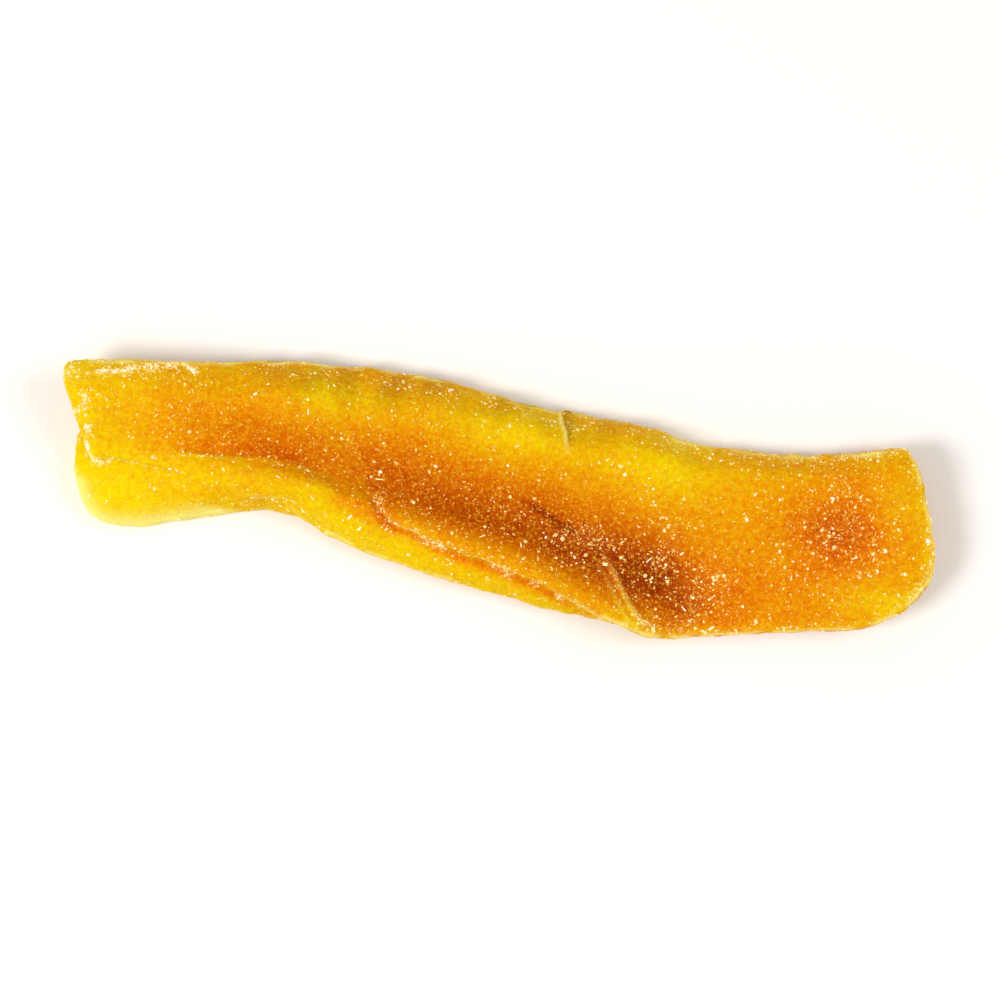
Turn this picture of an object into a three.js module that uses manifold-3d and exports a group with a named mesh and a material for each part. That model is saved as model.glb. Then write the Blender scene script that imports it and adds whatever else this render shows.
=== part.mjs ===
// A dried mango cheek: one long slice of fruit, dried until its margins curled.
// Millimetres, +Z up. X runs along the slice, left cut end to round right end, and Y to its back edge.
// The origin is on the surface that it lies on, at the middle of its length and width.
import * as THREE from "three";
import { mergeVertices } from "three/addons/utils/BufferGeometryUtils.js";
import Module from "manifold-3d";

// Plan of the upper leaf, seen from above.
const backEdge = [
  [-65.2, 8.9], [-63.7, 10.2], [-56.3, 11.5], [-41.3, 13.7], [-35.3, 15.1], [-14.8, 16.2], [-2.3, 15.1],
  [5.7, 14.3], [20.2, 14.2], [27.7, 12.6], [40.7, 13.2], [50.2, 14.5], [57.3, 16.7], [59.1, 16.1],
];
const frontRim = [
  [-59.1, -3.7], [-54.1, -3.3], [-45.3, -4.3], [-35.3, -5.7], [-26.3, -4.7], [-16.3, -6.1], [-5.6, -8.7],
  [4.6, -10.9], [15.5, -14.1], [21.2, -16.1], [27.7, -16.7], [43.5, -13.5], [55.4, -10.9], [61.2, -7.5],
];
const leftCut = [[-65.2, 8.9], [-64.7, 6.1], [-62.1, 1.5], [-59.1, -3.7]];
const rightEnd = [[59.1, 16.1], [61.1, 12.3], [63.6, 6.1], [65.1, 1.3], [64.5, -2.7], [61.2, -7.5]];

// Height of the leaf's upper face along X, as [x, height] pairs, on lines that run from end to end.
const backHeight = profile(
  [-66, 9.4], [-50, 7.4], [-34, 4.8], [-12, 3.2], [14, 2.9], [36, 3.4], [64, 8.0],
);
const shoulderHeight = profile([-66, 10.2], [-34, 9.2], [0, 8.4], [30, 8.2], [64, 8.8]);
const gutterHeight = profile(
  [-66, 9.2], [-50, 7.8], [-30, 6.0], [-5, 5.0], [25, 4.2], [46, 5.4], [64, 7.8],
);
const frontHeight = profile(
  [-66, 9.2], [-40, 8.2], [-12, 8.3], [8, 8.0], [17, 7.4], [26, 5.0], [44, 5.0], [64, 7.2],
);
// How far across the leaf, from 0 at the back to 1 at the front, the lines between its edges run. The gutter
// lies close behind the lip at the left, where the lip rises from it in a sharp fold.
const shoulderPlace = profile([-66, 0.32], [-20, 0.24], [4, 0.17], [64, 0.16]);
const gutterPlace = profile(
  [-66, 0.76], [-40, 0.69], [-32, 0.7], [-24, 0.76], [4, 0.65], [24, 0.7], [46, 0.52],
);
const lipPlace = profile(
  [-66, 0.87], [-50, 0.82], [-40, 0.77], [-32, 0.8], [-24, 0.88], [-15, 0.94], [4, 0.92],
);
const lipDrop = 0.2; // below the height of the front line

// The lip along the front margin ends in a ridge that runs slantwise to the front edge.
const lipEndSlant = 0.85;
const lipEndY = -10.8;

// Shallow hollows of the upper face: centre, half length, half width and depth.
const hollows = [
  { x: 27.2, y: -7.8, halfLength: 4.5, halfWidth: 6.5, depth: 1.0 },
  { x: 51.2, y: 4.2, halfLength: 8.0, halfWidth: 6.5, depth: 0.5 },
  { x: -1.3, y: -1.3, halfLength: 14.0, halfWidth: 2.6, depth: 0.5 },
];

// Crags that the drying left in the upper face, as lines on the plan. The flesh steps down from the right of
// each line to its left, and levels out again on both sides within the reach.
const crags = [
  {
    line: [[-48.8, 0.4], [-46.1, -0.4], [-39.8, 0.0], [-34.7, 0.6], [-29.4, 0.4], [-24.1, -1.0]],
    drop: 0.9,
    reach: 2.2,
  },
  {
    line: [[-4.2, 1.0], [1.4, 0.6], [4.9, 0.0], [7.9, -1.2], [11.4, -2.9], [14.5, -3.5]],
    drop: 0.6,
    reach: 1.8,
  },
  {
    line: [[16.2, -5.0], [17.6, -6.3], [19.1, -8.2], [20.9, -11.0], [22.6, -13.1], [24.8, -14.9]],
    drop: 0.9,
    reach: 1.6,
  },
  { line: [[7.3, 15.2], [7.9, 12.8], [8.9, 10.3], [9.6, 7.6]], drop: 0.6, reach: 2.5 },
];
const cragFade = 0.3; // share of the line over which the step fades in and out
const cragBrow = 0.4; // half the width of the step itself

const leafThickness = 4.2;
const extraUnderShoulder = 0.4; // of the height above the gutter, so the underside is smoother than the top
const leafRim = 2.3; // the margin over which the thickness rounds off to the edge
const cutRim = 1.3; // the same at the two ends

// Shrinking left the back band gently wavy.
const waveHeight = 0.3;
const waveLength = 17;

// The front margin is folded under. Its lower layer sticks out in front of the rim, most at the left end.
const foldFront = [
  [-60.9, -8.7], [-58.9, -11.5], [-55.3, -13.1], [-49.8, -12.3], [-41.3, -9.5], [-32.7, -7.0],
  [-26.8, -8.3], [-17.0, -11.5], [-8.3, -12.8], [2.7, -14.3], [12.7, -15.3], [21.7, -15.9],
];
const foldBack = [[-60.5, 2.5], [-44.3, 1.7], [-24.3, 0.2], [0.7, -5.3], [19.7, -11.8]];
const foldLeft = [[-60.5, 2.5], [-62.3, 0.3], [-61.9, -4.9], [-60.9, -8.7]];
const foldRight = [[19.7, -11.8], [22.1, -13.7], [21.7, -15.9]];
const foldInnerHeight = 2.6;
const foldCrestHeight = profile(
  [-63, 4.8], [-54, 5.8], [-44, 7.4], [-24, 7.4], [-10, 6.3], [8, 5.6], [21, 4.4],
);
const foldCrestPlace = 0.54;
const foldOuterHeight = profile([-63, 3.6], [-45, 3.6], [-25, 3.8], [21, 3.4]);
const foldRim = 2.4;

const leafSteps = { along: 88, across: 26 };
const foldSteps = { along: 44, across: 10 };
const weld = 1e-3; // points closer than this are one

// A smooth curve through [x, value] pairs, level beyond the first and the last.
function profile(...keys) {
  const slope = (i) => {
    const [before, after] = [keys[Math.max(i - 1, 0)], keys[Math.min(i + 1, keys.length - 1)]];
    return (after[1] - before[1]) / (after[0] - before[0]);
  };
  return (x) => {
    if (x <= keys[0][0]) return keys[0][1];
    const next = keys.findIndex((key) => key[0] >= x);
    if (next < 0) return keys.at(-1)[1];
    const [[x0, y0], [x1, y1]] = [keys[next - 1], keys[next]];
    const t = (x - x0) / (x1 - x0);
    const bend0 = slope(next - 1) * (x1 - x0) - (y1 - y0);
    const bend1 = (y1 - y0) - slope(next) * (x1 - x0);
    return y0 + t * (y1 - y0) + t * (1 - t) * (bend0 * (1 - t) + bend1 * t);
  };
}

// A smooth curve on the plan.
function curveThrough(points) {
  return new THREE.SplineCurve(points.map(([x, y]) => new THREE.Vector2(x, y)));
}

// A plan curve through points, as a function of the share of its length.
function outline(points) {
  const curve = curveThrough(points);
  return (share) => curve.getPointAt(share);
}

// Fills the plan between four outlines that meet at their ends: a Coons patch.
function planBetween(back, front, left, right) {
  const corners = [back(0), back(1), front(0), front(1)];
  return (u, v) => {
    const across = back(u).lerp(front(u), v);
    const along = left(v).lerp(right(v), u);
    const nearBack = corners[0].clone().lerp(corners[1], u);
    const nearFront = corners[2].clone().lerp(corners[3], u);
    return across.add(along).sub(nearBack.lerp(nearFront, v));
  };
}

// Steps from 0 to 1 that crowd towards both ends, where the rim turns.
function crowdedSteps(count) {
  const crowding = 0.62;
  return Array.from({ length: count + 1 }, (_, i) => {
    const even = i / count;
    return THREE.MathUtils.lerp(even, (1 - Math.cos(Math.PI * even)) / 2, crowding);
  });
}

// Share of the full thickness at a distance from the edge, rounding off like a half circle.
function rimShare(distance, rim) {
  const inward = Math.min(distance / rim, 1);
  return Math.sqrt(1 - (1 - inward) ** 2);
}

// A closed sheet of fruit flesh: an upper and a lower face over the same plan, sewn along the edge.
function sheet({ plan, steps, upper, lower, rims }) {
  const shares = [crowdedSteps(steps.along), crowdedSteps(steps.across)];
  const length = plan(0, 0.5).distanceTo(plan(1, 0.5));
  const position = [];
  const index = [];
  const at = (side, i, j) => (side * (steps.along + 1) + i) * (steps.across + 1) + j;
  for (const side of [0, 1]) {
    for (const u of shares[0]) {
      const width = plan(u, 0).distanceTo(plan(u, 1));
      for (const v of shares[1]) {
        const { x, y } = plan(u, v);
        const share = rimShare(Math.min(u, 1 - u) * length, rims.ends)
          * rimShare(Math.min(v, 1 - v) * width, rims.sides);
        const [top, bottom] = [upper(x, y, v), lower(x, y, v)];
        const middle = (top + bottom) / 2;
        const half = ((top - bottom) / 2) * share;
        position.push(x, y, Math.max(side === 0 ? middle + half : middle - half, 0));
      }
    }
  }
  for (let i = 0; i < steps.along; i++) {
    for (let j = 0; j < steps.across; j++) {
      const top = [at(0, i, j), at(0, i + 1, j), at(0, i + 1, j + 1), at(0, i, j + 1)];
      const low = [at(1, i, j), at(1, i + 1, j), at(1, i + 1, j + 1), at(1, i, j + 1)];
      index.push(top[0], top[2], top[1], top[0], top[3], top[2]);
      index.push(low[0], low[1], low[2], low[0], low[2], low[3]);
    }
  }
  return new THREE.BufferGeometry()
    .setAttribute("position", new THREE.Float32BufferAttribute(position, 3))
    .setIndex(index);
}

// Height of the leaf's form: a smooth curve across it through the named lines, with the hollows.
function leafForm(x, y, v) {
  const lipX = x + lipEndSlant * (y - lipEndY);
  const section = profile(
    [0, backHeight(x)],
    [shoulderPlace(x), shoulderHeight(x)],
    [gutterPlace(x), gutterHeight(x)],
    [lipPlace(x), frontHeight(lipX) - lipDrop],
    [1, frontHeight(lipX)],
  );
  const wave = waveHeight * Math.sin((2 * Math.PI * x) / waveLength) * (1 - v);
  const sunk = hollows.reduce((depth, h) => {
    const reach = ((x - h.x) / h.halfLength) ** 2 + ((y - h.y) / h.halfWidth) ** 2;
    return depth + h.depth * Math.exp(-reach);
  }, 0);
  return section(v) + wave - sunk;
}

// How far a crag lifts the upper face: more than 0 to the right of its line, and less than 0 to the left.
function cragLift({ line, drop, reach }) {
  const { smoothstep } = THREE.MathUtils;
  const curve = curveThrough(line);
  const steps = 40;
  const shares = Array.from({ length: steps + 1 }, (_, i) => i / steps);
  const points = shares.map((share) => curve.getPoint(share));
  return (x, y) => {
    const place = new THREE.Vector2(x, y);
    const away = points.map((point) => point.distanceTo(place));
    const nearest = away.indexOf(Math.min(...away));
    const right = -curve.getTangent(shares[nearest]).cross(place.sub(points[nearest]));
    const fade = smoothstep(shares[nearest], 0, cragFade) * smoothstep(1 - shares[nearest], 0, cragFade);
    return (drop / 2) * (right / Math.hypot(right, cragBrow)) * Math.exp(-Math.abs(right) / reach) * fade;
  };
}

const cragLifts = crags.map(cragLift);

function leafTop(x, y, v) {
  return cragLifts.reduce((height, lift) => height + lift(x, y), leafForm(x, y, v));
}

// The underside follows the form, without the crags, but the flesh is thicker under the shoulder.
function leafUnder(x, y, v) {
  const top = leafForm(x, y, v);
  return top - leafThickness - extraUnderShoulder * Math.max(top - gutterHeight(x), 0);
}

// The folded layer is highest where the rim of the leaf lies on it.
function foldTop(x, y, v) {
  return profile([0, foldInnerHeight], [foldCrestPlace, foldCrestHeight(x)], [1, foldOuterHeight(x)])(v);
}

const leafPlan = planBetween(outline(backEdge), outline(frontRim), outline(leftCut), outline(rightEnd));
const foldPlan = planBetween(outline(foldBack), outline(foldFront), outline(foldLeft), outline(foldRight));

const leaf = sheet({
  plan: leafPlan,
  steps: leafSteps,
  upper: leafTop,
  lower: leafUnder,
  rims: { sides: leafRim, ends: cutRim },
});
const fold = sheet({
  plan: foldPlan,
  steps: foldSteps,
  upper: foldTop,
  lower: () => 0,
  rims: { sides: foldRim, ends: foldRim },
});

// Leaf and fold are one piece of flesh, so they are joined into one closed body.
const wasm = await Module();
wasm.setup();

function asSolid(geometry) {
  const merged = mergeVertices(geometry, weld);
  return new wasm.Manifold(new wasm.Mesh({
    numProp: 3,
    vertProperties: new Float32Array(merged.attributes.position.array),
    triVerts: new Uint32Array(merged.index.array),
  }));
}

function asGeometry(solid) {
  const mesh = solid.getMesh();
  return new THREE.BufferGeometry()
    .setAttribute("position", new THREE.BufferAttribute(mesh.vertProperties, 3))
    .setIndex(new THREE.BufferAttribute(mesh.triVerts, 1));
}

const flesh = new THREE.MeshStandardMaterial({ color: 0xf2a51a, roughness: 0.5, metalness: 0 });
const cheek = new THREE.Mesh(asGeometry(asSolid(leaf).add(asSolid(fold))), flesh);
cheek.name = "mango_cheek";

const slice = new THREE.Group();
slice.add(cheek);

export default slice;
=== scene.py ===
# A dried mango cheek: one long slice, candied and dried until its margins curled.
# Metres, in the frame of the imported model: X along the slice, Y to its back edge, Z up. Sizes and places
# on the fruit are written in millimetres and turned to metres where the mesh is made.
import math

import bmesh
import bpy
import numpy as np
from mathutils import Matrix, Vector, kdtree, noise


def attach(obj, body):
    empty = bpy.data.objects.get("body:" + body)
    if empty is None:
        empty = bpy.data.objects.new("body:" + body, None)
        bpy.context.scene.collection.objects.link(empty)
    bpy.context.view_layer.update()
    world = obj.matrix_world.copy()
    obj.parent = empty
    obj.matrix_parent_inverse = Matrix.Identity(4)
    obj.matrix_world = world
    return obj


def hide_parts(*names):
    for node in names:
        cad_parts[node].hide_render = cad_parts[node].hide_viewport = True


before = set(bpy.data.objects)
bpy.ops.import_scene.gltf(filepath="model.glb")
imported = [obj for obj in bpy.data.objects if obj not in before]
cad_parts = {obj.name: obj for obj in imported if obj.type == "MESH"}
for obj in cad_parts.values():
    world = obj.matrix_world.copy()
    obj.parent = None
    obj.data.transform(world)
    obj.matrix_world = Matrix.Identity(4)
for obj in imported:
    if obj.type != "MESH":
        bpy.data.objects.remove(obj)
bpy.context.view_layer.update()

MM = 0.001


# ---- The flesh -----------------------------------------------------------------------------------------
# One slice of ripe fruit flesh, soaked in sugar syrup and dried to leather. It starts from the solid's own
# form and gets what drying did to it: creases, a torn back edge, fibres, wrinkles and a rough rim.
FLESH_VOXEL = 0.36
SMOOTHING_ROUNDS = 14  # they take the voxels' steps out again


def smooth_line(points, steps=8):
    """A Catmull-Rom curve through points on the plan, as many short straight steps."""
    points = np.array([points[0], *points, points[-1]], float)
    share = np.linspace(0, 1, steps, endpoint=False)[:, None]
    made = []
    for before, start, end, after in zip(points, points[1:], points[2:], points[3:]):
        bend = 2 * before - 5 * start + 4 * end - after
        turn = 3 * (start - end) + after - before
        made.append(0.5 * (2 * start + (end - before) * share + bend * share**2 + turn * share**3))
    return np.vstack([*made, points[-1]])


# Creases, seams and edges that the drying left, as lines on the plan. They run from left to right, and the
# tear in the back edge runs outwards.
FOLD_CREASE = smooth_line(
    [(-48.8, 0.4), (-46.1, -0.4), (-39.8, 0.0), (-34.7, 0.6), (-29.4, 0.4), (-24.1, -1.0)]
)
UPPER_CREASE = smooth_line([(1.8, 0.7), (4.9, 0.0), (7.9, -1.4), (10.6, -2.6), (13.0, -3.3)])
RIM_GAP = smooth_line(
    [
        (-18.1, -0.6), (-17.2, -2.1), (-16.2, -5.0), (-14.1, -6.7), (-11.0, -7.3),
        (-5.0, -9.1), (1.5, -10.3), (9.7, -12.4), (15.5, -14.2),
    ]
)
LIP_END = smooth_line(
    [(16.2, -5.0), (17.6, -6.3), (19.1, -8.2), (20.9, -11.0), (22.6, -13.1), (24.8, -14.9)]
)
BACK_TEAR = smooth_line([(9.6, 7.6), (8.9, 10.3), (7.9, 12.8), (7.3, 15.2)])
# Not a mark of drying: the line of painted shade behind the lip.
LIP_SHADE_LINE = smooth_line([(-25.5, -3.0), (-20.5, -4.7), (-16.8, -5.8), (-12.4, -7.2)])
FRONT_EDGE = smooth_line([(-22.4, -9.6), (-17.0, -11.3), (-11.0, -12.3), (-5.9, -13.5)])
GUTTER = smooth_line(
    [
        (-56, 2.8), (-44, 2.2), (-33, 2.0), (-23.6, 0.4), (-15.9, -1.3), (-8.4, -2.6),
        (-2.9, -3.3), (5.7, -4.4), (11.1, -5.8), (16.5, -6.8), (22.0, -8.0), (29.5, -11.0),
    ]
)

# Over which share of its length a line's mark fades in at its first end, and out at its last.
FOLD_CREASE_ENDS = (0.2, 0.25)
UPPER_CREASE_ENDS = (0.45, 0.12)
LIP_END_ENDS = (0.3, 0.1)
TEAR_FADE = (0, 0.4)


def soft_step(low, high, value):
    share = np.clip((value - low) / (high - low), 0, 1)
    return share * share * (3 - 2 * share)


def near(distance, reach):
    return np.exp(-((distance / reach) ** 2))


def stripe(side, amount, middle, reach):
    """A soft stripe: how much there is in it, how far beside a line its middle lies, and its reach."""
    return amount * near(side - middle, reach)


def spots(place, made):
    """Soft spots on the plan, each as how much, the X and Y of its middle, and how long and wide it is."""
    total = np.zeros(len(place))
    for amount, middle_x, middle_y, length, width in made:
        apart = np.hypot((place[:, 0] - middle_x) * width / length, place[:, 1] - middle_y)
        total += amount * near(apart, width)
    return total


def between(value, rise, fall):
    """0 up to the first range, 1 between the two, and 0 after the last."""
    return soft_step(*rise, value) * (1 - soft_step(*fall, value))


def bands(place, made):
    """Soft bands on the plan, each as how much, the Y over which it sets in, and the X between which it
    lies."""
    total = np.zeros(len(place))
    for amount, sets_in, rise, fall in made:
        total += amount * soft_step(*sets_in, place[:, 1]) * between(place[:, 0], rise, fall)
    return total


def along_x(place, pairs):
    """A value that changes along the slice, from its [x, value] pairs."""
    return np.interp(place[:, 0], *zip(*pairs))


def beside(line, place):
    """How far each place lies from a line on the plan, more than 0 on its left, and at what share of it."""
    starts, runs = line[:-1], np.diff(line, axis=0)
    lengths = np.linalg.norm(runs, axis=1)
    done = np.concatenate([[0], np.cumsum(lengths)])
    best = np.full(len(place), np.inf)
    side, share = np.zeros(len(place)), np.zeros(len(place))
    for start, run, length, before in zip(starts, runs, lengths, done):
        offset = place[:, :2] - start
        along = np.clip(offset @ run / length**2, 0, 1)
        apart = np.linalg.norm(offset - along[:, None] * run, axis=1)
        left = np.sign(run[0] * offset[:, 1] - run[1] * offset[:, 0])
        closer = apart < best
        best = np.where(closer, apart, best)
        side = np.where(closer, apart * left, side)
        share = np.where(closer, (before + along * length) / done[-1], share)
    return side, share


def faded_ends(share, first, last):
    return soft_step(0, first, share) * soft_step(0, last, 1 - share)


def ledge(side, height, reach, sharpness=0.22):
    """A step up from the left of a line to its right that levels out again on both sides."""
    return -0.5 * height * side / np.hypot(side, sharpness) * np.exp(-np.abs(side) / reach)


NOISE_APART = 31.7  # how far apart in the noise two seeds lie


def uneven(place, size, seed=0, stretch=(1, 1, 1)):
    """Smooth random values from about -1 to 1, with bumps of this size in millimetres."""
    points = place / (size * np.array(stretch)) + NOISE_APART * seed
    return np.array([noise.noise(Vector(point)) for point in points])


def patches(place, low, high, size, seed, stretch=(1, 1, 1)):
    """Random patches of this size, 0 where the noise is low and 1 where it is high."""
    return soft_step(low, high, uneven(place, size, seed, stretch))


# The steep places that belong to the outline, and not to the lip or a crease: those at the back, at the right
# end, on the flap at the left, and beside the front edge.
STEEP = 0.2
BACK_FROM = 8
RIGHT_FROM = 18
FLAP_BEFORE = -5.5
FLAP_UP_TO = -38
BESIDE_EDGE = 1.5


def from_rim(place, facing):
    """How far each place lies from the slice's back, right and front outline, seen from above."""
    x, y = place[:, 0], place[:, 1]
    edge = np.abs(beside(FRONT_EDGE, place)[0]) < BESIDE_EDGE
    outer = (y > BACK_FROM) | (x > RIGHT_FROM) | ((y < FLAP_BEFORE) & (x < FLAP_UP_TO)) | edge
    rim = place[(np.abs(facing[:, 2]) < STEEP) & outer]
    tree = kdtree.KDTree(len(rim))
    for index, (x, y, _) in enumerate(rim):
        tree.insert((x, y, 0), index)
    tree.balance()
    return np.array([tree.find((x, y, 0))[2] for x, y, _ in place])


# Relief in millimetres. A step has its height and its reach, and a stripe its height, how far beside the
# line it lies, and its reach. They, the puckers and the fibres are on the upper side, the wrinkles on the
# rest, and the bumps everywhere.
UPWARD = (0.1, 0.5)
RIM_BEAD = (0.16, 0.35, 0.35)
FOLD_STEP = (0.3, 1.6)
UPPER_STEP = (0.45, 1.2)
UPPER_SLIT = (-0.35, 0, 0.35)
LIP_STEP = (0.5, 1.2)
LIP_RIDGE = (0.25, -0.3, 0.4)
LIP_SECOND_RIDGE = (0.14, -1.5, 0.3)
LIP_FIBRES = (0.07, -2.5, 3.0)
LIP_RELIEF_ENDS = (0.3, 0.2)
TEAR_STEP = (-0.6, 2.0, 0.12)
TEAR_SLIT = (-0.2, -0.3, 0.3)
RIM_GROOVE = (-0.75, 0, 0.5)
RIM_GROOVE_ENDS = (0.15, 0.15)
PUCKERED_FROM = (4, 12)
PUCKER_HEIGHT = 0.55
BUMP_HEIGHTS = (0.3, 0.12, 0.07)
BUMP_SIZES = (7, 2.6, 1.1)
FIBRE_HEIGHT = 0.05
WRINKLE_HEIGHT = 0.16


def dried_relief(place, facing, rim_distance):
    """How far the dried surface stands out of the plain form, along its normal, in millimetres."""
    upward = soft_step(*UPWARD, facing[:, 2])
    lift = stripe(rim_distance, *RIM_BEAD)
    side, share = beside(FOLD_CREASE, place)
    lift += faded_ends(share, *FOLD_CREASE_ENDS) * ledge(side, *FOLD_STEP)
    side, share = beside(UPPER_CREASE, place)
    lift += faded_ends(share, *UPPER_CREASE_ENDS) * (ledge(side, *UPPER_STEP) + stripe(side, *UPPER_SLIT))
    side, share = beside(LIP_END, place)
    shown = faded_ends(share, *LIP_RELIEF_ENDS)
    lift += shown * (ledge(side, *LIP_STEP) + stripe(side, *LIP_RIDGE) + stripe(side, *LIP_SECOND_RIDGE))
    lift += shown * stripe(side, *LIP_FIBRES) * uneven(place, 0.55, seed=9, stretch=(1, 7, 7))
    side, share = beside(BACK_TEAR, place)
    lift += soft_step(*TEAR_FADE, share) * (ledge(side, *TEAR_STEP) + stripe(side, *TEAR_SLIT))
    side, share = beside(RIM_GAP, place)
    lift += faded_ends(share, *RIM_GROOVE_ENDS) * stripe(side, *RIM_GROOVE)
    puckers = uneven(place, 4.2, seed=10, stretch=(1, 3, 2)) * soft_step(*PUCKERED_FROM, place[:, 1])
    lift += PUCKER_HEIGHT * puckers
    lift += FIBRE_HEIGHT * uneven(place, 0.8, seed=3, stretch=(9, 1, 1))
    lift *= upward
    for seed, (height, size) in enumerate(zip(BUMP_HEIGHTS, BUMP_SIZES)):
        lift += height * uneven(place, size, seed)
    return lift + WRINKLE_HEIGHT * uneven(place, 1.5, seed=16, stretch=(4, 2, 1)) * (1 - upward)


# The cut rim: how far it wanders sideways in long and short waves, and the notch in the right end.
SIDEWAYS = (0.2, 0.75)
LONG_WANDER = 0.28
SHORT_WANDER = 0.16
RIM_NOTCH = [(0.9, 64.4, 5.0, 0.9, 0.9)]


def rough_rim(place, facing):
    """How far the cut rim wanders, sideways, in millimetres."""
    sideways = 1 - soft_step(*SIDEWAYS, np.abs(facing[:, 2]))
    wander = LONG_WANDER * uneven(place, 3.2, seed=4) + SHORT_WANDER * uneven(place, 1.3, seed=5)
    return sideways * (wander - spots(place, RIM_NOTCH))


def mesh_arrays(mesh):
    """The places and normals of a mesh's vertices, with the places in millimetres."""
    place = np.empty(len(mesh.vertices) * 3, np.float32)
    facing = np.empty(len(mesh.vertices) * 3, np.float32)
    mesh.vertices.foreach_get("co", place)
    mesh.vertices.foreach_get("normal", facing)
    return place.reshape(-1, 3).astype(float) / MM, facing.reshape(-1, 3).astype(float)


def place_vertices(mesh, place):
    mesh.vertices.foreach_set("co", (place * MM).astype(np.float32).ravel())
    mesh.update()


def fine_copy(node, name):
    """The solid's form in small even faces, so that relief can be worked into it."""
    copy = bmesh.new()
    copy.from_mesh(node.data)
    bmesh.ops.remove_doubles(copy, verts=copy.verts, dist=1e-6)
    coarse = bpy.data.meshes.new(name)
    copy.to_mesh(coarse)
    copy.free()
    piece = bpy.data.objects.new(name, coarse)
    bpy.context.scene.collection.objects.link(piece)
    remesh = piece.modifiers.new("remesh", "REMESH")
    remesh.mode = "VOXEL"
    remesh.voxel_size = FLESH_VOXEL * MM
    remeshed = bpy.data.meshes.new_from_object(piece.evaluated_get(bpy.context.evaluated_depsgraph_get()))
    piece.modifiers.clear()
    piece.data = remeshed
    smoothed = bmesh.new()
    smoothed.from_mesh(remeshed)
    for _ in range(SMOOTHING_ROUNDS):
        bmesh.ops.smooth_vert(
            smoothed, verts=smoothed.verts, factor=0.5, use_axis_x=True, use_axis_y=True, use_axis_z=True
        )
    smoothed.to_mesh(remeshed)
    smoothed.free()
    remeshed.polygons.foreach_set("use_smooth", [True] * len(remeshed.polygons))
    return piece


flesh = fine_copy(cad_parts["mango_cheek"], "dried_mango_flesh")
place, facing = mesh_arrays(flesh.data)
rim_distance = from_rim(place, facing)
place = place + facing * (dried_relief(place, facing, rim_distance) + rough_rim(place, facing))[:, None]
place[:, 2] = np.maximum(place[:, 2], 0)
place_vertices(flesh.data, place)
place, facing = mesh_arrays(flesh.data)


# How ripe the flesh is along the slice: plain, and how much riper in the gutter, whose orange reaches this
# far to the front and to the back.
PLAIN_RIPENESS = [(-64, 0.18), (-50, 0.32), (-20, 0.36), (20, 0.38), (36, 0.47), (64, 0.4)]
GUTTER_RIPENESS = [
    (-60, 0.0), (-52, 0.08), (-44, 0.22), (-28, 0.36), (-12, 0.4),
    (4, 0.42), (18, 0.46), (26, 0.42), (34, 0.2),
]
GUTTER_TO_FRONT = [(-12, 2.8), (0, 3.2), (16, 3.8), (22, 4.0)]
GUTTER_TO_BACK = [(-30, 7.0), (-14, 9.0), (-2, 9.0), (12, 8.5), (22, 8.0)]
GUTTER_SHOWS_UNDERNEATH = 0.4
# Spots that stayed thin and yellow, above and underneath: four along the back, two at the right end, and
# the tip of the flap.
YELLOW_SPOTS = [
    (0.25, 3.0, 10.0, 12.0, 4.5),
    (0.24, 24.6, 7.6, 8.0, 3.8),
    (0.17, -24.0, 10.8, 9.0, 3.2),
    (0.08, 39.0, 9.5, 11.0, 3.0),
    (0.26, 56.2, -6.2, 7.0, 2.8),
    (0.1, 58.0, 7.6, 3.5, 4.0),
    (0.18, -57.0, -8.0, 13.0, 5.0),
]
# Riper spots of the upper side: the orange blot in the right end, and painted shade in the dimple beside the
# lip's end.
RIPE_BLOT_AND_DIMPLE_SHADE = [(0.4, 50.4, 2.6, 7.0, 7.0), (0.12, 23.0, -7.0, 6.16, 4.4)]
# Riper along the back edge and along the front of the right end, and yellower along the front of the left
# end.
BEYOND = (90, 91)  # right of the slice, for a band that goes on to its end
RIPE_BANDS = [
    (0.05, (10.5, 14.5), (-50, -30), (28, 40)),
    (0.08, (-1, -8), (22, 32), BEYOND),
    (-0.06, (2, -3), (-66, -52), (-16, -4)),
]
# The steep sides of the right end are riper, which is painted shade, and its rim is yellower.
SIDES_SHADE_RIPE = 0.16
STEEP_TO_FLAT = (0.2, 0.8)
RIGHT_SIDES_FROM = (24, 40)
YELLOW_RIM = (0.14, 0.3, 1.3)
RIGHT_RIM_FROM = (16, 26)
# Stripes beside the lines: yellow on folds, and riper in seams and creases, which is painted shade.
YELLOW_LAYER = 0.14
LAYER_BEFORE_GAP = (0.6, 1.8)
LAYER_BETWEEN = ((-34, -22), (12, 22))
RIDGE_YELLOW = (0.3, -0.2, 0.5)
SECOND_RIDGE_YELLOW = (0.18, -1.5, 0.4)
FOLD_LINE_YELLOW = (0.2, -0.5, 0.35)
FOLD_LINE_SHADE = (0.15, 0.6, 0.9)
UPPER_CREASE_SHADE = (0.34, 0, 0.5)
SEAM_SHADE = (0.24, -0.1, 0.5)
SEAM_ENDS = (0.25, 0.15)
LIP_SHADE_RIPE = (0.3, 0.4, 1.7)
LIP_SHADE_ENDS = (0.3, 0.3)
CLOUDS_ON_TOP = 0.04
CLOUDS_UNDERNEATH = 0.08


def on_top(facing):
    """1 on the side that faces up, 0 underneath."""
    return soft_step(-0.3, 0.2, facing[:, 2])


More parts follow.
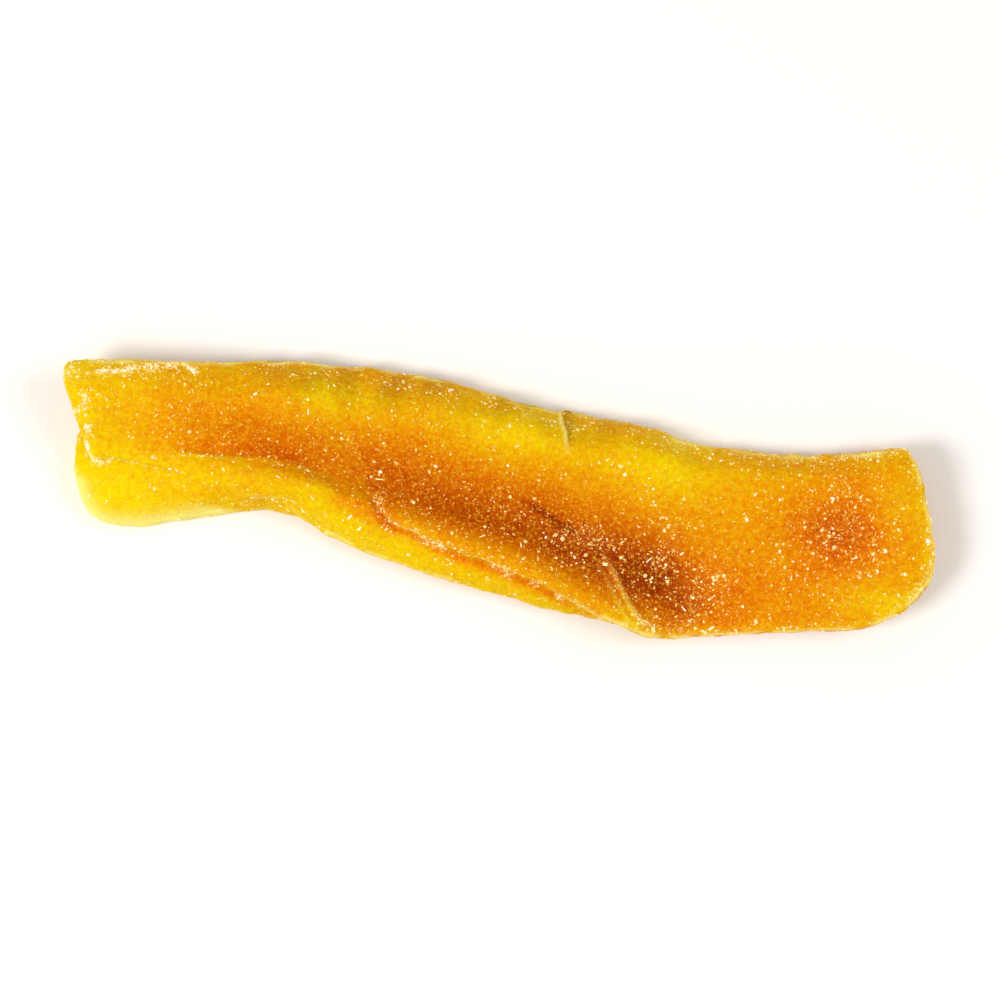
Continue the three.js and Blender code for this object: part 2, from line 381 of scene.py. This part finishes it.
def ripeness(place, facing, rim_distance):
    """How deep the orange of the flesh is: 0 at the lemon yellow rim, 1 where it is thick and ripe; some of
    the orange is painted shade.
    """
    x, top = place[:, 0], on_top(facing)
    side, _ = beside(GUTTER, place)
    reach = np.where(side > 0, along_x(place, GUTTER_TO_BACK), along_x(place, GUTTER_TO_FRONT))
    gutter = along_x(place, GUTTER_RIPENESS) * near(side, reach)
    marks = spots(place, RIPE_BLOT_AND_DIMPLE_SHADE)
    side, share = beside(RIM_GAP, place)
    marks -= YELLOW_LAYER * soft_step(*LAYER_BEFORE_GAP, -side) * between(x, *LAYER_BETWEEN)
    # Painted shade in the seam of the rim's fissure.
    marks += faded_ends(share, *SEAM_ENDS) * stripe(side, *SEAM_SHADE)
    side, share = beside(LIP_END, place)
    ridges = stripe(side, *RIDGE_YELLOW) + stripe(side, *SECOND_RIDGE_YELLOW)
    marks -= faded_ends(share, *LIP_END_ENDS) * ridges
    side, share = beside(FOLD_CREASE, place)
    # Painted shade above the fold crease, and yellow below it.
    crease = stripe(side, *FOLD_LINE_SHADE) - stripe(side, *FOLD_LINE_YELLOW)
    marks += faded_ends(share, *FOLD_CREASE_ENDS) * crease
    side, share = beside(UPPER_CREASE, place)
    # Painted shade in the upper crease.
    marks += faded_ends(share, *UPPER_CREASE_ENDS) * stripe(side, *UPPER_CREASE_SHADE)
    # Painted shade behind the lip.
    side, share = beside(LIP_SHADE_LINE, place)
    marks += faded_ends(share, *LIP_SHADE_ENDS) * stripe(side, *LIP_SHADE_RIPE)
    # Painted shade on the right end's steep sides, as a deeper orange.
    sides = SIDES_SHADE_RIPE * (1 - soft_step(*STEEP_TO_FLAT, facing[:, 2])) * soft_step(*RIGHT_SIDES_FROM, x)
    rim = stripe(rim_distance, *YELLOW_RIM) * soft_step(*RIGHT_RIM_FROM, x)
    clouds = (CLOUDS_UNDERNEATH + (CLOUDS_ON_TOP - CLOUDS_UNDERNEATH) * top) * uneven(place, 6, seed=6)
    gutter = gutter * (GUTTER_SHOWS_UNDERNEATH + (1 - GUTTER_SHOWS_UNDERNEATH) * top)
    plain = along_x(place, PLAIN_RIPENESS) + bands(place, RIPE_BANDS) - spots(place, YELLOW_SPOTS)
    return plain + gutter + top * marks + sides - rim + clouds


# Painted shade along the gutter: how dark along the slice, and how far it reaches to both sides.
GUTTER_SHADE_DARKNESS = [(-50, 0), (-36, 0.35), (-12, 0.7), (4, 0.9), (17, 1.1), (24, 1.1), (31, 0.6), (36, 0)]
GUTTER_SHADE_TO_BACK = [(-32, 4.0), (-20, 6.0)]
GUTTER_SHADE_TO_FRONT = [(-12, 2.2), (4, 2.8), (14, 3.4), (20, 3.6)]
# Painted shadow in the dimple beside the lip's end.
DIMPLE_SHADOW = [(0.7, 23.0, -7.0, 7.0, 5.0)]
# Less painted shade on the ridge where the lip ends.
RIDGE_UNSHADED = (0.7, -0.4, 0.7)
# Dark shade in the puckers of the back slope, and beside the tear.
BACK_SHADE = [(1, (7, 12.5), (-46, -26), (6, 30))]
PLAIN_SHADE = 0.05
PUCKER_SHADE = 0.4
TEAR_SHADE = (0.8, 0, 1.8)
RIGHT_OF_TEAR = (0, 0.3)
DARKEST = 1.05


def painted_shade(place, facing):
    """Painted shade on the flesh, in the gutter, the dimple, the back slope's puckers and beside the tear: 0
    nowhere, 1 most.
    """
    side, _ = beside(GUTTER, place)
    reach = np.where(side > 0, along_x(place, GUTTER_SHADE_TO_BACK), along_x(place, GUTTER_SHADE_TO_FRONT))
    gutter_shade = np.maximum(along_x(place, GUTTER_SHADE_DARKNESS) * near(side, reach), spots(place, DIMPLE_SHADOW))
    side, share = beside(LIP_END, place)
    gutter_shade *= 1 - faded_ends(share, *LIP_END_ENDS) * stripe(side, *RIDGE_UNSHADED)
    puckers = patches(place, -0.35, 0.35, size=3.0, seed=13, stretch=(1, 3, 2))
    back = (PLAIN_SHADE + PUCKER_SHADE * puckers) * bands(place, BACK_SHADE)
    side, share = beside(BACK_TEAR, place)
    tear = soft_step(*TEAR_FADE, share) * soft_step(*RIGHT_OF_TEAR, -side) * stripe(side, *TEAR_SHADE)
    return np.clip((gutter_shade + tear) * on_top(facing) + back, 0, DARKEST)


# Sugar in grains for each square millimetre: thin all over, in patches, and thinner underneath.
SPARSE = 0.5
PATCHY = 0.8
UNDERNEATH = 0.35
# On the blot, in a clump between the creases, in four clusters around the dimple, and in two on the left
# end's back corner.
SUGAR_SPOTS = [
    (3.2, 50.4, 3.0, 6.3, 7.0),
    (6.0, 14.0, -3.8, 4.2, 1.5),
    (2.6, 25.5, -0.6, 3.0, 3.0),
    (2.6, 25.2, -6.0, 2.5, 2.5),
    (2.6, 33.4, -8.0, 4.0, 4.0),
    (2.6, 30.6, -11.6, 2.0, 2.0),
    (7.0, -63.0, 8.5, 2.56, 1.6),
    (4.2, -55.0, 10.2, 6.75, 1.5),
]
# Beside the lines, along the rim of the right end, and on all the cut sides.
GUTTER_SUGAR = (0.9, 0, 4.0)
GUTTER_SUGAR_FROM = (-30, 20)
GAP_SUGAR = (15.0, 0.3, 0.6)
GAP_SUGAR_ENDS = (0.1, 0.1)
FOLD_SUGAR = (3.0, -0.3, 0.3)
FOLD_SUGAR_ENDS = (0.3, 0.2)
RIDGE_SUGAR = (5.0, -0.2, 0.4)
RIDGE_SUGAR_AT_FIRST = 0.3
RIM_SUGAR = (1.8, 0.7, 0.8)
SIDE_SUGAR = 2.0
SIDE_TO_FACE = (0.45, 0.8)
# Where syrup ran to the cut edges and dried as a white crust: the line, and how thick the sugar is on it.
CRUSTS = [
    (smooth_line([(-60.4, 1.6), (-59.9, -0.9), (-60.0, -2.5), (-58.6, -3.7), (-56.8, -3.8)]), 44),
    (smooth_line([(-61.3, 5.9), (-61.0, 4.2), (-61.9, 2.9)]), 30),
    (smooth_line([(-60.4, 9.2), (-57.0, 9.6), (-54.0, 10.6), (-48.0, 11.8), (-46.0, 11.2)]), 36),
    (smooth_line([(61.9, 6.0), (63.0, 4.6), (63.5, 3.4)]), 30),
    (smooth_line([(58.4, -9.4), (61.2, -7.4), (62.9, -4.3), (63.9, -0.4), (64.3, 2.6)]), 14),
    (smooth_line([(22.7, -14.6), (29.0, -15.0), (36.8, -14.4)]), 8),
]
CRUST_WIDTH = 0.4


def sugar_cover(place, facing, rim_distance):
    """Sugar crystals on the surface, in grains for each square millimetre."""
    x = place[:, 0]
    cover = SPARSE + PATCHY * patches(place, -0.1, 0.6, size=4, seed=7)
    bare = UNDERNEATH * cover
    cover += spots(place, SUGAR_SPOTS)
    side, _ = beside(GUTTER, place)
    cover += stripe(side, *GUTTER_SUGAR) * soft_step(*GUTTER_SUGAR_FROM, x)
    side, share = beside(RIM_GAP, place)
    clustered = patches(place, -0.1, 0.35, size=2, seed=11)
    cover += stripe(side, *GAP_SUGAR) * faded_ends(share, *GAP_SUGAR_ENDS) * clustered
    side, share = beside(FOLD_CREASE, place)
    cover += stripe(side, *FOLD_SUGAR) * faded_ends(share, *FOLD_SUGAR_ENDS)
    side, share = beside(LIP_END, place)
    cover += stripe(side, *RIDGE_SUGAR) * (RIDGE_SUGAR_AT_FIRST + share)
    sides = 1 - soft_step(*SIDE_TO_FACE, np.abs(facing[:, 2]))
    cover += SIDE_SUGAR * sides * patches(place, -0.2, 0.4, size=2.5, seed=8)
    cover += stripe(rim_distance, *RIM_SUGAR) * soft_step(*RIGHT_RIM_FROM, x)
    crumbled = patches(place, -0.3, 0.3, size=1.5, seed=12)
    for line, thickness in CRUSTS:
        cover += thickness * near(beside(line, place)[0], CRUST_WIDTH) * crumbled
    return np.where(facing[:, 2] > 0, cover, bare)


# Pale lines, from 0 to 1: the cut sides, the rim's thin upper edge, the ridges where the lip ends, the tear,
# and the margin of the flap at the left, which lies in front of the fold. The flap's margin is pale flesh and
# also painted light, as if lit through where it is thin.
SIDE_PALE = 0.1
SIDE_PATCH_PALE = 0.3
CUT_SIDE = (0.15, 0.5)
EDGE_PALE = (0.95, 0.3, 0.25)
RIDGE_PALE = (0.3, -0.2, 0.22)
SECOND_RIDGE_PALE = (0.18, -1.5, 0.2)
RIDGE_PALE_ENDS = (0.35, 0.1)
FRAYED_AT_LEAST = 0.3
TEAR_PALE = (0.95, 0.2, 0.2)
FOLD_FRONT = [(-62, -5.5), (-38, -7.2), (-28, -5.0)]
FLAP_SETS_IN = (0, -1.5)
FLAP_ENDS = (-26, -40)
FLAP_PALE_AND_GLOW = (1, 0, 1.5)
FLAP_SIDE_PALE = 0.6


def pale_lines(place, facing, rim_distance):
    """How much of the flesh's colour has gone: 0 nowhere, 1 where a thin edge dried almost white."""
    sides = 1 - soft_step(*CUT_SIDE, np.abs(facing[:, 2]))
    sides *= SIDE_PALE + SIDE_PATCH_PALE * patches(place, -0.3, 0.4, size=3.0, seed=15, stretch=(3, 3, 1))
    broken = patches(place, -0.35, 0.1, size=3.0, seed=14)
    edge = broken * stripe(rim_distance, *EDGE_PALE) * soft_step(*UPWARD, facing[:, 2])
    side, share = beside(LIP_END, place)
    frayed = FRAYED_AT_LEAST + (1 - FRAYED_AT_LEAST) * patches(place, -0.3, 0.3, size=0.7, seed=17)
    ridges = stripe(side, *RIDGE_PALE) + stripe(side, *SECOND_RIDGE_PALE)
    ridges *= frayed * faded_ends(share, *RIDGE_PALE_ENDS)
    side, share = beside(BACK_TEAR, place)
    tear = soft_step(*TEAR_FADE, share) * stripe(side, *TEAR_PALE)
    behind_front = place[:, 1] - along_x(place, FOLD_FRONT)
    on_flap = soft_step(*FLAP_SETS_IN, behind_front) * soft_step(*FLAP_ENDS, place[:, 0])
    # Partly painted light: the flap's thin margin paler as if lit through.
    flap = on_flap * stripe(rim_distance, *FLAP_PALE_AND_GLOW)
    flap *= FLAP_SIDE_PALE + (1 - FLAP_SIDE_PALE) * soft_step(0, 0.5, facing[:, 2])
    return np.maximum.reduce([flap, sides, edge, on_top(facing) * ridges, on_top(facing) * tear])


def keep_on_points(mesh, name, values):
    layer = mesh.attributes.new(name, "FLOAT", "POINT")
    layer.data.foreach_set("value", np.asarray(values, np.float32))


FULL_DUST = 14  # grains for each square millimetre where the dust between them is thickest

flesh_ripeness = ripeness(place, facing, rim_distance)
grains_per_mm2 = sugar_cover(place, facing, rim_distance)
keep_on_points(flesh.data, "ripeness", flesh_ripeness)
# Painted shade, for the flesh's material.
keep_on_points(flesh.data, "painted_darkness", painted_shade(place, facing))
keep_on_points(flesh.data, "sugar", np.clip(grains_per_mm2 / FULL_DUST, 0, 1))
keep_on_points(flesh.data, "pale", pale_lines(place, facing, rim_distance))


def linear(colour):
    """An sRGB hex value as the linear colour that shaders work with."""
    parts = [int(colour[i : i + 2], 16) / 255 for i in (1, 3, 5)]
    return [c / 12.92 if c <= 0.04045 else ((c + 0.055) / 1.055) ** 2.4 for c in parts] + [1]


def new_material(name):
    material = bpy.data.materials.new(name)
    material.use_nodes = True
    material.node_tree.nodes.clear()
    return material, material.node_tree


def add(tree, kind, settings=None, **sockets):
    """Adds a node with its settings; a socket takes a value, or another node's output. A socket is called by
    its name, or by its number after an underscore."""
    made = tree.nodes.new("ShaderNode" + kind)
    for name, value in (settings or {}).items():
        setattr(made, name, value)
    for name, value in sockets.items():
        socket = made.inputs[int(name[1:])] if name[1:].isdigit() else made.inputs[name.replace("_", " ")]
        if isinstance(value, bpy.types.NodeSocket):
            tree.links.new(value, socket)
        else:
            socket.default_value = value
    return made


# From the lemon rim to the ripe middle.
FLESH_COLOURS = {
    0.0: "#F3DC00",
    0.2: "#F0CA00",
    0.36: "#EBB200",
    0.52: "#E99800",
    0.7: "#E37800",
    0.9: "#CE5700",
    1.0: "#B44200",
}
# The colour that painted shade multiplies into the flesh's colour.
PAINTED_SHADE_TINT = "#D0BFB6"
GOLDEN_FROST = "#FFC92C"
PALE_FLESH = "#FFF084"
SUGAR_DUST = "#FFE08C"

# Sizes of the flesh's patterns in millimetres. Clouds, specks and bumps are as large as in the fruit. The
# dots and the lace of the frost and the dust are drawn coarser than real sugar dust, so that they show.
CLOUD_SIZE = 2.4
SPECK_SIZE = 0.75
BUMP_SIZE = 0.6
FROST_SIZE = 0.66
LACE_SIZE = 0.4
DUST_SIZE = 0.32
# How much the clouds and the specks add to the ripeness, and about what both add on average, which is taken
# off again.
CLOUD_RIPENESS = 0.16
SPECK_RIPENESS = 0.6
AVERAGE_ADDED = 0.33
# A dot of frost goes from its core to its rim, in shares of the space between two. Most dots are faint or
# don't show, and the lace and the dust show where their noise is high.
DOT_CORE = 0.12
DOT_RIM = 0.42
DOTS_FROM = 0.4
DOTS_FULL = 0.95
LACE_FROM = 0.54
LACE_FULL = 0.7
LACE_STRENGTH = 0.7
DUST_FROM = 0.5
DUST_FULL = 0.66
FROST_SHOWN = 0.7
DUST_GATHERS = 2.2  # the power by which dust keeps to the places with most sugar
BUMP_DEPTH = 0.26
FROST_HEIGHT = 0.1


def flesh_colours(tree, depth):
    """The colours from the yellow rim to the orange middle."""
    colours = add(tree, "ValToRGB", Fac=depth)
    ramp = colours.color_ramp
    while len(ramp.elements) < len(FLESH_COLOURS):
        ramp.elements.new(0.5)
    for element, (position, colour) in zip(ramp.elements, FLESH_COLOURS.items()):
        element.position = position
        element.color = linear(colour)
    return colours.outputs["Color"]


def candied_flesh():
    """Dried mango flesh, cut and candied: see-through like stiff jelly, lemon at the rims and orange where
    it is thick, dulled by a fine dust of dry sugar."""
    material, tree = new_material("dried mango flesh, candied")
    mixed = {"data_type": "RGBA"}
    clamped = {"clamp": True}
    times = {"operation": "MULTIPLY"}
    times_plus = {"operation": "MULTIPLY_ADD"}
    spot = add(tree, "TexCoord").outputs["Object"]
    ripe = add(tree, "Attribute", {"attribute_name": "ripeness"}).outputs["Fac"]
    sugar = add(tree, "Attribute", {"attribute_name": "sugar"}).outputs["Fac"]
    pale = add(tree, "Attribute", {"attribute_name": "pale"}).outputs["Fac"]
    painted_darkness = add(tree, "Attribute", {"attribute_name": "painted_darkness"}).outputs["Fac"]

    clouds = add(tree, "TexNoise", Vector=spot, Scale=1 / (CLOUD_SIZE * MM), Detail=3.0).outputs["Fac"]
    depth = add(tree, "Math", times_plus, _0=clouds, _1=CLOUD_RIPENESS, _2=ripe).outputs[0]
    specks = add(tree, "TexNoise", Vector=spot, Scale=1 / (SPECK_SIZE * MM), Detail=2.0, Roughness=0.6)
    depth = add(tree, "Math", times_plus, _0=specks.outputs["Fac"], _1=SPECK_RIPENESS, _2=depth).outputs[0]
    depth = add(tree, "Math", {"operation": "SUBTRACT"}, _0=depth, _1=AVERAGE_ADDED).outputs[0]
    colour = flesh_colours(tree, depth)
    # Painted shade darkens the colour.
    darker = {"data_type": "RGBA", "blend_type": "MULTIPLY"}
    colour = add(tree, "Mix", darker, _0=painted_darkness, _6=colour, _7=linear(PAINTED_SHADE_TINT)).outputs[2]

    frost = add(tree, "TexVoronoi", Vector=spot, Scale=1 / (FROST_SIZE * MM))
    dot = add(tree, "MapRange", clamped, _0=frost.outputs["Distance"], _1=DOT_RIM, _2=DOT_CORE).outputs[0]
    chance = add(tree, "SeparateColor", Color=frost.outputs["Color"]).outputs[0]
    shown = add(tree, "MapRange", clamped, _0=chance, _1=DOTS_FROM, _2=DOTS_FULL).outputs[0]
    dot = add(tree, "Math", times, _0=dot, _1=shown).outputs[0]
    lace = add(tree, "TexNoise", Vector=spot, Scale=1 / (LACE_SIZE * MM), Detail=2.0, Roughness=0.55)
    lace = add(
        tree, "MapRange", clamped, _0=lace.outputs["Fac"], _1=LACE_FROM, _2=LACE_FULL, _4=LACE_STRENGTH
    ).outputs[0]
    dot = add(tree, "Math", {"operation": "MAXIMUM"}, _0=dot, _1=lace).outputs[0]
    golden = add(tree, "Math", times, _0=dot, _1=FROST_SHOWN).outputs[0]
    colour = add(tree, "Mix", mixed, _0=golden, _6=colour, _7=linear(GOLDEN_FROST)).outputs[2]
    colour = add(tree, "Mix", mixed, _0=pale, _6=colour, _7=linear(PALE_FLESH)).outputs[2]

    dust = add(tree, "TexNoise", Vector=spot, Scale=1 / (DUST_SIZE * MM), Detail=3.0, Roughness=0.7)
    dusty = add(tree, "MapRange", clamped, _0=dust.outputs["Fac"], _1=DUST_FROM, _2=DUST_FULL).outputs[0]
    gathered = add(tree, "Math", {"operation": "POWER"}, _0=sugar, _1=DUST_GATHERS).outputs[0]
    dusty = add(tree, "Math", times, _0=dusty, _1=gathered).outputs[0]
    colour = add(tree, "Mix", mixed, _0=dusty, _6=colour, _7=linear(SUGAR_DUST)).outputs[2]

    bumps = add(tree, "TexNoise", Vector=spot, Scale=1 / (BUMP_SIZE * MM), Detail=3.0, Roughness=0.6)
    height = add(tree, "Math", times_plus, _0=dot, _1=FROST_HEIGHT, _2=bumps.outputs["Fac"]).outputs[0]
    relief = add(tree, "Bump", Height=height, Strength=1.0, Distance=BUMP_DEPTH * MM)
    shader = add(
        tree,
        "BsdfPrincipled",
        Base_Color=colour,
        Roughness=0.5,
        IOR=1.45,
        Specular_IOR_Level=0.03,
        Subsurface_Weight=0.4,
        Subsurface_Radius=(1.0, 0.42, 0.08),
        Subsurface_Scale=0.8 * MM,
        Normal=relief.outputs["Normal"],
    )
    add(tree, "OutputMaterial", Surface=shader.outputs["BSDF"])
    return material


flesh.data.materials.clear()
flesh.data.materials.append(candied_flesh())
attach(flesh, "root")
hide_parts("mango_cheek")


# ---- The sugar -----------------------------------------------------------------------------------------
# Grains of sugar that crystallised out of the syrup, or stuck to the flesh while it was tacky. They are
# clear to white blocks, splinters and lumps, half sunk in the surface, thickest in hollows and on rims.
GRAIN_SEED = 729
GRAIN_SIZE = 0.235
SIZE_SPREAD = 0.48
SIZE_LIMITS = (0.4, 2.8)
KIND_SHARES = {"block": 0.25, "splinter": 0.4, "lump": 0.35}
# Each side of a grain is at least this share of its size, and a small grain may be up to so much longer.
SHORTEST_SIDE = 0.55
EXTRA_LENGTH = 1.2
# How far a grain's middle lies under the surface, as shares of its size, and how much flatter it lies on the
# flesh than it fell.
SINKS = (-0.1, 0.15)
LYING = 0.4
# How white the grains are, from 0 to 1: loose ones vary and get whiter with size, and those of a crust are
# white. Grains are in a crust where there are this many for each square millimetre.
LOOSE_WHITE = 0.7
WHITE_SPREAD = (1.2, 1.8)
LARGER_WHITER = 0.2
WHITEST_LOOSE = 0.85
CRUST_WHITE = (0.6, 1.0)
CRUST_GRAINS = (8, 20)


def grain_shapes():
    """A few crystals of size 1, each of a few faces: blocks, splinters and round lumps."""
    made = []
    for kind in KIND_SHARES:
        grain = bmesh.new()
        if kind == "block":
            bmesh.ops.create_cube(grain, size=1.0)
            bmesh.ops.scale(grain, vec=(1.0, 0.8, 0.65), verts=grain.verts)
        elif kind == "splinter":
            bmesh.ops.create_cone(grain, cap_ends=True, segments=3, radius1=0.34, radius2=0.26, depth=1.35)
        else:
            bmesh.ops.create_icosphere(grain, subdivisions=1, radius=0.55)
        bmesh.ops.triangulate(grain, faces=grain.faces)
        grain.verts.index_update()
        points = np.array([vertex.co for vertex in grain.verts])
        faces = np.array([[vertex.index for vertex in face.verts] for face in grain.faces])
        made.append((points, faces))
        grain.free()
    return made


def random_turns(draw, count):
    """Random rotation matrices, from even random quaternions."""
    w, x, y, z = draw.normal(size=(count, 4)).T
    size = np.sqrt(w * w + x * x + y * y + z * z)
    w, x, y, z = w / size, x / size, y / size, z / size
    rows = [
        [1 - 2 * (y * y + z * z), 2 * (x * y - w * z), 2 * (x * z + w * y)],
        [2 * (x * y + w * z), 1 - 2 * (x * x + z * z), 2 * (y * z - w * x)],
        [2 * (x * z - w * y), 2 * (y * z + w * x), 1 - 2 * (x * x + y * y)],
    ]
    return np.moveaxis(np.array(rows), 2, 0)


def scattered_places(draw, mesh, place, facing, density, also):
    """Random places on a mesh, as many on each face as its area and the density there ask, with the normal
    there and what `also` holds there."""
    mesh.calc_loop_triangles()
    corners = np.empty(len(mesh.loop_triangles) * 3, np.int32)
    mesh.loop_triangles.foreach_get("vertices", corners)
    corners = corners.reshape(-1, 3)
    a, b, c = (place[corners[:, i]] for i in range(3))
    areas = np.linalg.norm(np.cross(b - a, c - a), axis=1) / 2
    weights = areas * density[corners].mean(axis=1)
    chosen = draw.choice(len(corners), int(weights.sum()), p=weights / weights.sum())
    shares = draw.dirichlet((1, 1, 1), len(chosen))
    return tuple(np.einsum("nk,nkd->nd", shares, kept[corners[chosen]]) for kept in (place, facing, also))


def scattered_grains(name):
    """All the grains as one mesh, with the ripeness under each and how white it is."""
    draw = np.random.default_rng(GRAIN_SEED)
    also = np.column_stack([flesh_ripeness, soft_step(*CRUST_GRAINS, grains_per_mm2)])
    centres, outward, also = scattered_places(draw, flesh.data, place, facing, grains_per_mm2, also)
    ripe, crusted = also.T
    count = len(centres)
    sizes = GRAIN_SIZE * np.clip(draw.lognormal(0, SIZE_SPREAD, count), *SIZE_LIMITS)
    centres = centres - outward * sizes[:, None] * draw.uniform(*SINKS, (count, 1))
    turns = random_turns(draw, count)
    kinds = draw.choice(len(KIND_SHARES), count, p=tuple(KIND_SHARES.values()))
    whiteness = LOOSE_WHITE * draw.beta(*WHITE_SPREAD, count) + LARGER_WHITER * (sizes / GRAIN_SIZE - 1)
    whiteness = np.clip(whiteness, 0, WHITEST_LOOSE)
    whiteness = np.maximum(whiteness, crusted * draw.uniform(*CRUST_WHITE, count))
    vertices, faces, tints, whites, start = [], [], [], [], 0
    for kind, (points, triangles) in enumerate(grain_shapes()):
        mine = kinds == kind
        stretched = points * draw.uniform(SHORTEST_SIDE, 1.0, (mine.sum(), 1, 3)) * sizes[mine, None, None]
        slender = np.minimum(GRAIN_SIZE / sizes[mine], 1)
        stretched[:, :, 2] *= 1 + (slender * draw.uniform(0, EXTRA_LENGTH, mine.sum()))[:, None]
        turned = np.einsum("nij,npj->npi", turns[mine], stretched)
        standing = np.einsum("npi,ni->np", turned, outward[mine])
        turned -= LYING * standing[:, :, None] * outward[mine, None]
        moved = turned + centres[mine, None]
        moved[:, :, 2] -= np.minimum(moved[:, :, 2].min(axis=1), 0)[:, None]
        firsts = start + len(points) * np.arange(mine.sum())
        faces.append((triangles[None] + firsts[:, None, None]).reshape(-1, 3))
        vertices.append(moved.reshape(-1, 3))
        tints.append(np.repeat(ripe[mine], len(points)))
        whites.append(np.repeat(whiteness[mine], len(points)))
        start += len(points) * int(mine.sum())
    mesh = bpy.data.meshes.new(name)
    mesh.from_pydata((np.vstack(vertices) * MM).tolist(), [], np.vstack(faces).tolist())
    keep_on_points(mesh, "ripeness", np.concatenate(tints))
    keep_on_points(mesh, "whiteness", np.concatenate(whites))
    grains = bpy.data.objects.new(name, mesh)
    bpy.context.scene.collection.objects.link(grains)
    return grains


# A clear grain shows half of the flesh's colour; others go from golden to white.
CLEAR_GRAIN = "#FFDE60"
GOLDEN_GRAIN = "#FFE49A"
WHITE_GRAIN = "#FFFAE6"
GOLDEN_AT = 0.7
# A faint glow in the grains' own colour: painted light for what they scatter inside.
PAINTED_GLOW = 0.12


def crystal_sugar():
    """Crystallised sugar: clear grains whose many faces scatter light, so they look white and sparkle; a
    faint painted glow stands in for that light.
    """
    material, tree = new_material("crystallised sugar")
    mixed = {"data_type": "RGBA"}
    clamped = {"clamp": True}
    ripe = add(tree, "Attribute", {"attribute_name": "ripeness"}).outputs["Fac"]
    whiteness = add(tree, "Attribute", {"attribute_name": "whiteness"}).outputs["Fac"]
    under = flesh_colours(tree, ripe)
    clear = add(tree, "Mix", mixed, _0=0.5, _6=under, _7=linear(CLEAR_GRAIN)).outputs[2]
    share = add(tree, "MapRange", clamped, _0=whiteness, _1=0.0, _2=GOLDEN_AT).outputs[0]
    colour = add(tree, "Mix", mixed, _0=share, _6=clear, _7=linear(GOLDEN_GRAIN)).outputs[2]
    share = add(tree, "MapRange", clamped, _0=whiteness, _1=GOLDEN_AT, _2=1.0).outputs[0]
    colour = add(tree, "Mix", mixed, _0=share, _6=colour, _7=linear(WHITE_GRAIN)).outputs[2]
    shader = add(
        tree,
        "BsdfPrincipled",
        Base_Color=colour,
        Roughness=0.16,
        IOR=1.54,
        Emission_Color=colour,
        Emission_Strength=PAINTED_GLOW,
    )
    add(tree, "OutputMaterial", Surface=shader.outputs["BSDF"])
    return material


grains = scattered_grains("sugar_crystals")
grains.data.materials.append(crystal_sugar())
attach(grains, "root")


# ---- The table, light and camera -----------------------------------------------------------------------
# A plain white table that the slice lies on, a sheet of laminate far larger than the view.
TABLE_SIZE = 5.0


def white_table():
    """Matt white laminate, plain: even and without gloss, so it shows nothing but the slice's soft shadow."""
    material, tree = new_material("white laminate, matt")
    shader = add(tree, "BsdfPrincipled", Base_Color=linear("#FBFAF8"), Roughness=0.7)
    add(tree, "OutputMaterial", Surface=shader.outputs["BSDF"])
    return material


surface = bmesh.new()
bmesh.ops.create_grid(surface, x_segments=1, y_segments=1, size=TABLE_SIZE / 2)
table_mesh = bpy.data.meshes.new("table")
surface.to_mesh(table_mesh)
surface.free()
table = bpy.data.objects.new("table", table_mesh)
table_mesh.materials.append(white_table())
bpy.context.scene.collection.objects.link(table)

# Soft daylight from the left and a little from the front, so the lip shades the gutter behind it.
DAYLIGHT = 0.475
world = bpy.data.worlds.new("studio")
bpy.context.scene.world = world
world.use_nodes = True
world.node_tree.nodes["Background"].inputs["Color"].default_value = linear("#FFFCF6")
world.node_tree.nodes["Background"].inputs["Strength"].default_value = DAYLIGHT


def softbox(name, place, size, power):
    """A round soft lamp that points at the slice."""
    light = bpy.data.lights.new(name, "AREA")
    light.shape = "DISK"
    light.size = size
    light.energy = power
    lamp = bpy.data.objects.new(name, light)
    lamp.location = place
    lamp.rotation_euler = (-Vector(place)).to_track_quat("-Z", "Y").to_euler()
    bpy.context.scene.collection.objects.link(lamp)


softbox("softbox left", place=(-0.42, -0.2, 0.56), size=0.3, power=3.05)
softbox("softbox right", place=(0.45, 0.15, 0.5), size=0.4, power=1.5)

# The camera looks straight down, turned so that the slice slopes as it does in the photograph. The view's
# width and its middle are in millimetres, and the turn is in degrees.
VIEW_WIDTH = 148
VIEW_MIDDLE = (0.7, -0.3)
VIEW_TURN = 9
LENS = 120
SENSOR = 36
camera_data = bpy.data.cameras.new("camera")
camera_data.lens = LENS
camera_data.sensor_width = SENSOR
camera_data.dof.use_dof = False
camera = bpy.data.objects.new("camera", camera_data)
camera.location = (VIEW_MIDDLE[0] * MM, VIEW_MIDDLE[1] * MM, VIEW_WIDTH * MM * LENS / SENSOR)
camera.rotation_euler = (0, 0, math.radians(VIEW_TURN))
bpy.context.scene.collection.objects.link(camera)
bpy.context.scene.camera = camera
bpy.context.scene.view_settings.view_transform = "Standard"
